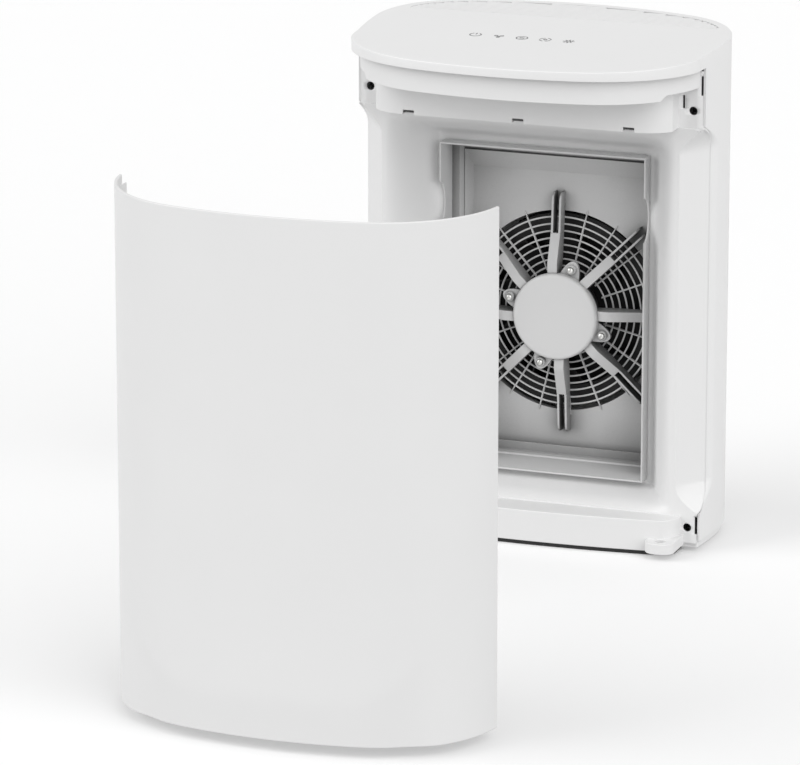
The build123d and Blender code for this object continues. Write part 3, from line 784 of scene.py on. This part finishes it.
def make_band():
    stations = front_stations((30, 34), BAND_BACK, BAND_INSET)
    rows = 9
    points = []
    for row in range(rows):
        for side, chosen in ((-1, reversed(stations)), (1, stations[1:])):
            for station in chosen:
                x, y = station_point(station, BAND_INSET, side)
                step = smooth((abs(x) - BAND_END_X + BAND_STEP / 2) / BAND_STEP)
                bottom = BAND_BOTTOM + (BAND_END_BOTTOM - BAND_BOTTOM) * step
                points.append((x, y, bottom + (BAND_TOP - bottom) * row / (rows - 1)))
    faces = grid_faces(rows, 2 * len(stations) - 1)
    band = make_piece("control_band", points, faces, WHITE_CHASSIS)
    thicken(band, BAND_WALL)
    bevel(band, 0.5, 2, 50)
    declare(band, "housing", "white_chassis", "control_housing")
    floor_inset = BAND_INSET + BAND_WALL - 0.5
    stations = front_stations((20, 24), BAND_BACK, floor_inset)
    outline = [station_point(station, floor_inset, -1) for station in reversed(stations)]
    outline += [station_point(station, floor_inset) for station in stations[1:]]
    bottom, top = [BAND_END_BOTTOM + rise for rise in BAND_FLOOR]
    floor = extruded("band_floor", outline, bottom, top, WHITE_CHASSIS, 0.4, 2)
    declare(floor, "housing", "white_chassis")


def make_rail():
    """The box rail, with a dark hollow behind each of its three notches."""
    bend = bezier((RAIL_FLAT, RAIL_FRONT), (RAIL_FLAT + 18, RAIL_FRONT),
                  (RAIL_HALF_WIDTH - 8, RAIL_SIDE - 12), (RAIL_HALF_WIDTH, RAIL_SIDE), 18)
    right = bend + [(RAIL_HALF_WIDTH, 0.5)]
    outline = [(-x, y) for x, y in reversed(right)] + right
    rail = extruded("latch_box", outline, RAIL_BOTTOM, BAND_END_BOTTOM + 0.3, WHITE_CHASSIS)
    width, height, depth = NOTCH
    notch_points, notch_faces, hollow_points, hollow_faces = [], [], [], []
    for x in NOTCHES_X:
        add_box(notch_points, notch_faces, x - width / 2, x + width / 2,
                RAIL_FRONT - CUT_PAST, RAIL_FRONT + depth, RAIL_BOTTOM - CUT_PAST, RAIL_BOTTOM + height)
        add_box(hollow_points, hollow_faces, x - width, x + width,
                RAIL_FRONT + BAND_WALL, HOLLOW_BACK, RAIL_BOTTOM + HOLLOW_FLOOR, RAIL_BOTTOM + 2 * height)
    cut_away(rail, notch_points, notch_faces)
    cut_away(rail, hollow_points, hollow_faces)
    bevel(rail, 0.6, 2)
    declare(rail, "housing", "white_chassis", "latch_rail")


# ---------- touch symbols

ICON_X = -62.4
ICON_PITCH = 24.8
ICON_Y = 10.0
ICON_R = 6.2
ICON_LINE = 1.1
ICON_HEIGHTS = (-0.1, 0.12)  # from the lid's face to the stroke's underside and top


def fan_blade(turn):
    """One leaf of the fan symbol."""
    leaf = []
    for x, y in bezier((0.6, 0.4), (1.2, 4.6), (5.4, 4.4), (4.2, 1.0), 12) + [(0.6, 0.4)]:
        leaf.append((x * cos(turn) - y * sin(turn), x * sin(turn) + y * cos(turn)))
    return leaf


def symbols():
    """The lines of the five symbols: power, fan, level, ring with gaps, sun."""
    ring = ICON_R - 0.4
    power = [circle_points((0, 0), ring, 120, 420), [(0, 1.2), (0, ICON_R)]]
    fan = [fan_blade(radians(120 * index)) for index in range(3)]
    level = [circle_points((0, 0), ring), [(-2.6, 1.2), (2.6, 1.2)], [(-2.6, -1.2), (2.6, -1.2)]]
    gaps = [circle_points((0, 0), ring, 90 * index + 12, 90 * index + 78) for index in range(4)]
    gaps.append(circle_points((0, 0), 1.6))
    sun = [circle_points((0, 0), 2.2)]
    for index in range(8):
        turn = radians(45 * index)
        sun.append([(3.3 * cos(turn), 3.3 * sin(turn)), (ICON_R * cos(turn), ICON_R * sin(turn))])
    return power, fan, level, gaps, sun


def add_stroke(points, faces, line, centre):
    """A thin flat ridge along a line, laid on the lid's slope."""
    under, top = ICON_HEIGHTS
    sections = []
    for index, (x, y) in enumerate(line):
        before = line[max(index - 1, 0)]
        after = line[min(index + 1, len(line) - 1)]
        along = Vector((after[0] - before[0], after[1] - before[1])).normalized() * ICON_LINE / 2
        section = []
        for side, rise in ((-1, under), (-1, top), (1, top), (1, under)):
            py = centre[1] + y + side * along.x
            section.append((centre[0] + x - side * along.y, py, top_height(py) + rise))
        sections.append(section)
    add_loft(points, faces, sections)


def make_icons():
    points = []
    faces = []
    for index, lines in enumerate(symbols()):
        for line in lines:
            add_stroke(points, faces, line, (ICON_X + index * ICON_PITCH, ICON_Y))
    icons = make_piece("symbol_lines", points, faces, ICON_GREY, sharp=40)
    declare(icons, "housing", "icon_grey", "touch_icons")


# ---------- outlet grille

SLAT_PITCH = 4.8
SLAT_GAP = 1.5
SLAT_DEPTH = 3.0
SLAT_STEPS = 24
GRILLE_SUNK = 0.15
GRILLE_CLEAR = 0.4  # gap at the slats' ends


def make_grille():
    """Long slats across the rear of the lid, over a dark well."""
    count = int((REAR_Y - OUTLET_INSET - OUTLET_FRONT) / SLAT_PITCH)
    points = []
    faces = []
    for index in range(count):
        front = OUTLET_FRONT + (index * SLAT_PITCH + SLAT_GAP if index else 0.3)
        back = OUTLET_FRONT + (index + 1) * SLAT_PITCH
        reach = min(outline_x(y, OUTLET_INSET + GRILLE_CLEAR) for y in (front, back))
        half = min(reach, OUTLET_HALF_WIDTH - GRILLE_CLEAR)
        if half <= SLAT_PITCH:
            continue
        corners = [(y, top_height(y) - GRILLE_SUNK - drop) for y, drop in (
            (front, SLAT_DEPTH), (front, 0.0), (back, 0.0), (back, SLAT_DEPTH))]
        add_loft(points, faces, [[(half * (2 * step / SLAT_STEPS - 1), y, z) for y, z in corners]
                                 for step in range(SLAT_STEPS + 1)])
    slats = make_piece("grille_slats", points, faces, WHITE_SHELL)
    bevel(slats, 0.25, 2, 50)
    declare(slats, "housing", "white_shell", "outlet_grille")


# ---------- filter bay

BAY_FRONT = low("filter_bay", "y")
BAY_BACK = high("filter_bay", "y")
BAY_SEAT = (109.1, 57.5, 395.5)  # half width, bottom, top of the cartridge's seat
SCALLOP_Z = 332.0
SCALLOP = (23.0, 14.0)  # half length, depth
SCALLOP_STEPS = 20
RIM = 0.9  # width of the rim around the seat
SEAT_BACK = 72.0
GROOVE = 8.9  # how far the grooves behind the seat reach out
THROAT = (99.0, 66.0, 358.0)  # where the box ends at the fan plate
BODY = (121.0, 54.5, 398.5)  # the box's outside, behind the dish


def bay_loops():
    """Rectangles from the rim in to the fan and back outside: half width, bottom, top, Y."""
    half, bottom, top = BAY_SEAT
    outer = (BAY_OUTER_X, *BAY_OUTER_Z)
    return [
        (*outer, 64.0),
        (*outer, BAY_FRONT + 0.3),
        (half + RIM, bottom - RIM, top + RIM, BAY_FRONT),
        (half, bottom, top, BAY_FRONT + 0.2),
        (half, bottom, top, SEAT_BACK),
        (half + GROOVE, bottom, top, SEAT_BACK + 0.6),
        (half + GROOVE, bottom, top - 1.5, 87.0),
        (half - 2.6, bottom + 1.6, top - 7.5, 88.0),
        (half - 5.1, bottom + 2.2, top - 16.5, 98.5),
        (half - 5.2, bottom + 12.0, top - 17.5, 96.0),
        (*THROAT, BAY_BACK + 0.05),
        (*BODY, BAY_BACK + 0.05),
        (*BODY, 66.0),
    ]


def scallop_depth(z):
    reach = 1 - ((z - SCALLOP_Z) / SCALLOP[0]) ** 2
    return SCALLOP[1] * sqrt(reach) if reach > 0 else 0.0


def side_shares(bottom, top):
    """Shares of the bay's height at which its sides are divided, close together at the scallop."""
    marks = [bottom, 150.0, 250.0]
    marks += [SCALLOP_Z - SCALLOP[0] * cos(pi * step / SCALLOP_STEPS) for step in range(SCALLOP_STEPS + 1)]
    marks.append(top)
    return [(z - bottom) / (top - bottom) for z in marks]


def make_bay():
    loops = bay_loops()
    points = []
    faces = []
    shares = side_shares(*BAY_SEAT[1:])
    for side in (-1, 1):
        base = len(points)
        for place, (half, bottom, top, y) in enumerate(loops):
            for share in shares:
                z = bottom + (top - bottom) * share
                front = y + scallop_depth(z) if 1 <= place <= 3 else y
                points.append((side * half, front, z))
        last = (len(loops) - 1) * len(shares)
        strip = grid_faces(len(loops), len(shares))
        strip += [(index, index + 1, last + index + 1, last + index) for index in range(len(shares) - 1)]
        add_faces(faces, base, strip)
    for level in (1, 2):
        base = len(points)
        for half, bottom, top, y in loops:
            for x in (-half, half):
                points.append((x, y, bottom if level == 1 else top))
        last = 2 * len(loops) - 2
        add_faces(faces, base, grid_faces(len(loops), 2) + [(0, 1, last + 1, last)])
    bay = make_piece("bay_frame", points, faces, GREY_BAY, sharp=25)
    bevel(bay, 0.3, 2, 30)
    declare(bay, "housing", "grey_bay", "filter_bay")


# ---------- fan

GUARD_RINGS = 8
GUARD_FIRST_R = 47.8
GUARD_PITCH = 7.45
GUARD_WIRE_R = 0.95
GUARD_SPOKES = 20
GUARD_TURN = 4.6
GUARD_SPOKE = ((45.5, 1.9, 2.4), (100.0, 1.7, 2.4), (111.5, 0.5, 0.9))  # radius, width, rise
SPOKE_OUTLINE = ((-0.5, 0.0), (-0.5, 0.6), (-0.25, 1.0), (0.25, 1.0), (0.5, 0.6), (0.5, 0.0))
RING_STEPS = (144, 10)  # points round a ring and round its wire


def on_fan(radius, turn, across=0.0):
    """X and Z of a place at a radius and a turn about the fan's axis, shifted across the radius."""
    return (radius * cos(turn) - across * sin(turn), FAN_Z + radius * sin(turn) + across * cos(turn))


def make_guard():
    segments, sides = RING_STEPS
    middle = PLATE_Y - 0.9
    points = []
    faces = []
    for index in range(GUARD_RINGS):
        ring_r = GUARD_FIRST_R + index * GUARD_PITCH
        base = len(points)
        for wire_x, wire_y in circle_points((ring_r, middle), GUARD_WIRE_R, count=sides):
            for step in range(segments):
                x, z = on_fan(wire_x, 2 * pi * step / segments)
                points.append((x, wire_y, z))
        add_faces(faces, base, grid_faces(sides + 1, segments, closed=True))
    for index in range(GUARD_SPOKES):
        turn = radians(GUARD_TURN + index * 360 / GUARD_SPOKES)
        sections = []
        for radius, width, rise in GUARD_SPOKE:
            section = []
            for across, front in SPOKE_OUTLINE:
                x, z = on_fan(radius, turn, across * width)
                section.append((x, PLATE_Y - rise * front, z))
            sections.append(section)
        add_loft(points, faces, sections)
    guard = make_piece("guard_wires", points, faces, GUARD_WHITE, sharp=50)
    declare(guard, "housing", "guard_white", "inlet_guard")


ARMS = 8
ARM_OFFSET = 4.0
ARM_HALF_WIDTH = 5.2
TINE_INNER = 2.9  # half the gap between two tines
FORK_START_R = 86.0
ARM_END_R = 127.5
ROOT_RADII = [38.0, 41.5, 42.0, 46.0, 56.0, 60.0, 73.0, FORK_START_R]
LEVEL_RADII = ROOT_RADII + [100.0, 109.5]  # the two level arms have no fork
TINE_RADII = [FORK_START_R - 1.0, 88.0, 100.0, 112.0, 114.0, 120.0, 124.5, ARM_END_R]
ARM_FRONT = ((38.0, 88.0), (46.0, 84.5), (56.0, 84.0), (88.0, 95.0), (120.0, 97.0),
             (124.5, 98.5), (ARM_END_R, 102.5))
ARM_BACK = ((38.0, 92.0), (41.5, 93.0), (42.0, 101.0), (60.0, 105.0), (100.0, 109.0),
            (112.0, 109.2), (114.0, 111.0), (128.0, 111.0))


def along_profile(profile, radius):
    """Y of a profile of (radius, Y) corners at a radius."""
    for (r0, y0), (r1, y1) in zip(profile, profile[1:]):
        if radius <= r1:
            return y0 + (y1 - y0) * max(radius - r0, 0.0) / (r1 - r0)
    return profile[-1][1]


def add_bar(points, faces, turn, radii, low_side, high_side):
    """A bar along an arm's radius, between two distances across it."""
    sections = []
    for radius in radii:
        front = along_profile(ARM_FRONT, radius)
        back = along_profile(ARM_BACK, radius)
        section = []
        for across, y in ((low_side, front), (high_side, front), (high_side, back), (low_side, back)):
            x, z = on_fan(radius, turn, ARM_OFFSET + across)
            section.append((x, y, z))
        sections.append(section)
    add_loft(points, faces, sections)


HUB_PLATE_R = 44.5
HUB_PLATE_Y = (88.0, 92.0)
HUB_STEPS = 240
HUB_EDGE_R = 3.5
HUB_CROWN = 0.6
HUB_WALL = 2.5
EARS = 4
EAR_START = 72.0
EAR_R = 53.0
EAR_REACH = 17.0  # how far an ear stands out past the hub plate
EAR_SPREAD = 15.5  # half angle that an ear takes up, degrees
EAR_POINT = 1.6  # above 1, the ears taper like a drop
EAR_BOSS_R = 4.9
# Profiles turned about an ear's screw, as (radius, Y)
BOSS_PROFILE = ((0.0, 84.0), (EAR_BOSS_R - 0.5, 84.0), (EAR_BOSS_R, 84.5), (EAR_BOSS_R + 0.4, 88.5),
                (0.0, 88.5))
HEAD_PROFILE = ((0.0, 82.2), (1.1, 82.0), (1.4, 80.9), (2.4, 81.2), (3.2, 81.9), (3.7, 83.0), (3.8, 84.3),
                (1.9, 84.3), (1.9, 96.0), (0.0, 96.0))


def ear_turn(index):
    return radians(EAR_START + index * 360 / EARS)


def hub_radius(turn):
    """Edge of the hub plate, with its four drop-shaped ears."""
    nearest = min(abs((degrees(turn - ear_turn(index)) + 180) % 360 - 180) for index in range(EARS))
    share = max(1 - (nearest / EAR_SPREAD) ** 2, 0.0)
    return HUB_PLATE_R + EAR_REACH * share ** EAR_POINT


def make_bracket():
    points = []
    faces = []
    for index in range(ARMS):
        turn = 2 * pi * index / ARMS
        if index % (ARMS // 2) == 0:
            add_bar(points, faces, turn, LEVEL_RADII, -ARM_HALF_WIDTH, ARM_HALF_WIDTH)
            continue
        add_bar(points, faces, turn, ROOT_RADII, -ARM_HALF_WIDTH, ARM_HALF_WIDTH)
        add_bar(points, faces, turn, TINE_RADII, -ARM_HALF_WIDTH, -TINE_INNER)
        add_bar(points, faces, turn, TINE_RADII, TINE_INNER, ARM_HALF_WIDTH)
    turns = [2 * pi * step / HUB_STEPS for step in range(HUB_STEPS)]
    edge = [on_fan(hub_radius(turn), turn) for turn in turns]
    add_loft(points, faces, [[(x, y, z) for x, z in edge] for y in HUB_PLATE_Y])
    bracket = make_piece("fan_bracket", points, faces, BRACKET_GREY, sharp=30)
    bevel(bracket, 0.5, 2, 40)
    declare(bracket, "housing", "bracket_grey", "motor_bracket")


def make_ear_screws():
    """A raised boss and a domed screw head on each ear."""
    for index in range(EARS):
        centre = on_fan(EAR_R, ear_turn(index))
        boss = turned(f"ear_boss_{index + 1}", BOSS_PROFILE, centre, BRACKET_GREY, 48)
        boss.data.set_sharp_from_angle(angle=radians(40))
        declare(boss, "housing", "bracket_grey")
        head = turned(f"ear_screw_{index + 1}", HEAD_PROFILE, centre, SCREW_STEEL, 48)
        head.data.set_sharp_from_angle(angle=radians(40))
        nodes = ["bracket_screws"] if index == 0 else []
        declare(head, "housing", "screw_steel", *nodes)


def make_hub():
    """The turned disc: slightly crowned, with a rounded edge and a hollow back."""
    edge = HUB_R - HUB_EDGE_R
    inside = HUB_R - HUB_WALL
    profile = [(0.0, HUB_Y), (15.0, HUB_Y + 0.05), (30.0, HUB_Y + 0.25)]
    for step in range(9):
        turn = radians(90 * step / 8)
        profile.append((edge + HUB_EDGE_R * sin(turn), HUB_Y + HUB_CROWN + HUB_EDGE_R * (1 - cos(turn))))
    profile += [(HUB_R, HUB_PLATE_Y[0]), (inside, HUB_PLATE_Y[0]), (inside, HUB_Y + 5.0), (0.0, HUB_Y + 4.0)]
    hub = turned("hub_cap", profile, (0.0, FAN_Z), GUARD_WHITE, 160)
    hub.data.set_sharp_from_angle(angle=radians(50))
    declare(hub, "housing", "guard_white", "motor_cover")


# ---------- base

BASE_BOTTOM = low("base_tray", "z")
LEDGE_TOP = high("base_tray", "z")
LEDGE = (146.0, 165.0, -37.0, -27.0)  # straight half width, half width, middle Y, end Y
LUG_INNER = 138.0
LUG_OUTER = high("base_lugs", "x")
LUG_FRONT = low("base_lugs", "y")
LUG_Z = (low("base_lugs", "z"), high("base_lugs", "z"))
LUG_HOLE = (153.5, -33.0, 5.5)  # X, Y, radius
LUG_CUT = (-5.0, 40.0)  # heights between which the hole's cutter stands
LUG_ROUND = 12.0
LEDGE_STEPS = 24  # grid steps on half of its front
LEDGE_HANDLE = 0.62  # share of the corner that the curve's handles reach
REAR_FOOT = (105.0, 108.0, 12.0)  # X, Y, radius


def ledge_front(half, inset):
    """The ledge's bowed front as far as a half width, drawn in by an inset."""
    straight, _, middle_y, end_y = LEDGE
    front = []
    for step in range(-LEDGE_STEPS, LEDGE_STEPS + 1):
        x = half * step / LEDGE_STEPS
        front.append((x, middle_y + inset + (end_y - middle_y) * (x / straight) ** 2))
    return front


def make_ledge():
    straight, half, middle_y, end_y = LEDGE
    front = ledge_front(straight, 0.0)
    slope = 2 * (end_y - middle_y) / straight
    reach = half - straight
    handle = reach * LEDGE_HANDLE
    corner = bezier((straight, end_y), (straight + handle, end_y + slope * handle),
                    (half, end_y * LEDGE_HANDLE), (half, 0.5), 14)[1:]
    outline = [(-x, y) for x, y in reversed(corner)] + front + corner
    ledge = extruded("base_ledge", outline, BASE_BOTTOM, LEDGE_TOP, WHITE_CHASSIS, 1.1, 3)
    declare(ledge, "housing", "white_chassis", "base_tray")
    stations = arc_stations(outline_arcs(COVER_SWEEP)[2:], (8, 20, 16))
    plate = [station_point(station, CHASSIS_GAP) for station in stations]
    plate += [(-x, y) for x, y in reversed(plate[:-1])]
    floor = extruded("base_plate", plate, BASE_BOTTOM, SKIN_BOTTOM + 1.0, WHITE_CHASSIS, 0.6, 2)
    declare(floor, "housing", "white_chassis")


FOOT_INSET = 2.5
FOOT_BACK = 10.0


def make_feet():
    """Dark rubber: a plinth strip under the ledge and two round feet at the back; the strip's near-black
    also serves as painted shade for the shadow gap under the ledge.
    """
    straight, half, _, end_y = LEDGE
    side = half - FOOT_INSET
    outline = [(-side, FOOT_BACK), (-side, end_y / 2)] + ledge_front(straight - FOOT_INSET, FOOT_INSET)
    outline += [(side, end_y / 2), (side, FOOT_BACK)]
    # near-black rubber strip, partly painted shade for the dark gap under the ledge
    strip = extruded("foot_strip", outline, 0.0, BASE_BOTTOM + 0.2, FOOT_RUBBER_AND_SHADE, 0.5, 2)
    declare(strip, "housing", "foot_rubber", "rubber_feet")
    for side, name in ((-1, "left"), (1, "right")):
        outline = circle_points((side * REAR_FOOT[0], REAR_FOOT[1]), REAR_FOOT[2])[:-1]
        foot = extruded(f"rear_foot_{name}", outline, 0.0, BASE_BOTTOM + 0.2, FOOT_RUBBER_AND_SHADE, 0.8, 3)
        declare(foot, "housing", "foot_rubber")


def make_lugs():
    x, y, radius = LUG_HOLE
    for side, name in ((-1, "left"), (1, "right")):
        outline = []
        for centre_x, start in ((LUG_OUTER - LUG_ROUND, 0), (LUG_INNER + LUG_ROUND, -90)):
            outline += circle_points((centre_x, LUG_FRONT + LUG_ROUND), LUG_ROUND, start, start - 90, 14)
        outline += [(LUG_INNER, 0.5), (LUG_OUTER, 0.5)]
        outline = [(side * px, py) for px, py in outline]
        lug = extruded(f"lug_{name}", outline, LUG_Z[0], LUG_Z[1], WHITE_CHASSIS)
        points = []
        faces = []
        ring = circle_points((side * x, y), radius, count=40)[:-1]
        add_loft(points, faces, [[(px, py, z) for px, py in ring] for z in LUG_CUT])
        cut_away(lug, points, faces)
        bevel(lug, 0.8, 3)
        nodes = ["base_lugs"] if side < 0 else []
        declare(lug, "housing", "white_chassis", *nodes)


# ---------- scene

# Metres, radians and millimetres of lens
CAMERA_PLACE = (1.789216, -5.258434, 1.678452)
CAMERA_YAW = 0.3516386
CAMERA_PITCH = 0.2666137
CAMERA_LENS = 253.45
FLOOR_REACH = 14.0
WORLD_STRENGTH = 0.62
# Name, azimuth to the right of the front, elevation, strength, softness; angles in degrees
SOFTBOXES = (
    ("left_softbox", -60, 25, 1.3, 50),
    ("right_softbox", 55, 30, 1.5, 60),
    ("top_softbox", 0, 85, 0.2, 80),
)


def make_camera():
    data = bpy.data.cameras.new("camera")
    data.lens = CAMERA_LENS
    data.sensor_width = 36.0
    data.sensor_fit = "HORIZONTAL"
    data.clip_end = 60.0
    camera = bpy.data.objects.new("camera", data)
    camera.location = CAMERA_PLACE
    camera.rotation_euler = Euler((pi / 2 - CAMERA_PITCH, 0.0, CAMERA_YAW), "XYZ")
    bpy.context.scene.collection.objects.link(camera)
    bpy.context.scene.camera = camera


def make_sun(name, azimuth, elevation, strength, softness):
    """A broad soft light from a direction."""
    data = bpy.data.lights.new(name, "SUN")
    data.energy = strength
    data.angle = radians(softness)
    lamp = bpy.data.objects.new(name, data)
    level = cos(radians(elevation))
    toward = Vector((sin(radians(azimuth)) * level, -cos(radians(azimuth)) * level, sin(radians(elevation))))
    lamp.rotation_euler = toward.to_track_quat("Z", "Y").to_euler()
    bpy.context.scene.collection.objects.link(lamp)


def make_studio():
    reach = FLOOR_REACH
    corners = [(-reach, -reach, 0), (reach, -reach, 0), (reach, reach, 0), (-reach, reach, 0)]
    floor_mesh = bpy.data.meshes.new("floor")
    floor_mesh.from_pydata(corners, [], [(0, 1, 2, 3)])
    floor = link("floor", floor_mesh)
    material = plastic("studio_floor", (0.93, 0.93, 0.93), 0.7, grain=0.0, tone=0.002)
    floor_mesh.materials.append(material)
    floor.visible_diffuse = False
    world = bpy.data.worlds.new("studio")
    bpy.context.scene.world = world
    world.use_nodes = True
    sky = world.node_tree.nodes["Background"]
    sky.inputs["Color"].default_value = (1.0, 1.0, 1.0, 1.0)
    sky.inputs["Strength"].default_value = WORLD_STRENGTH
    for softbox in SOFTBOXES:
        make_sun(*softbox)
    bpy.context.scene.view_settings.view_transform = "Standard"


dress_cad_nodes()
make_front_cover()
make_housing()
make_chassis()
make_band()
make_rail()
make_icons()
make_grille()
make_bay()
make_guard()
make_bracket()
make_ear_screws()
make_hub()
make_ledge()
make_feet()
make_lugs()
make_camera()
make_studio()
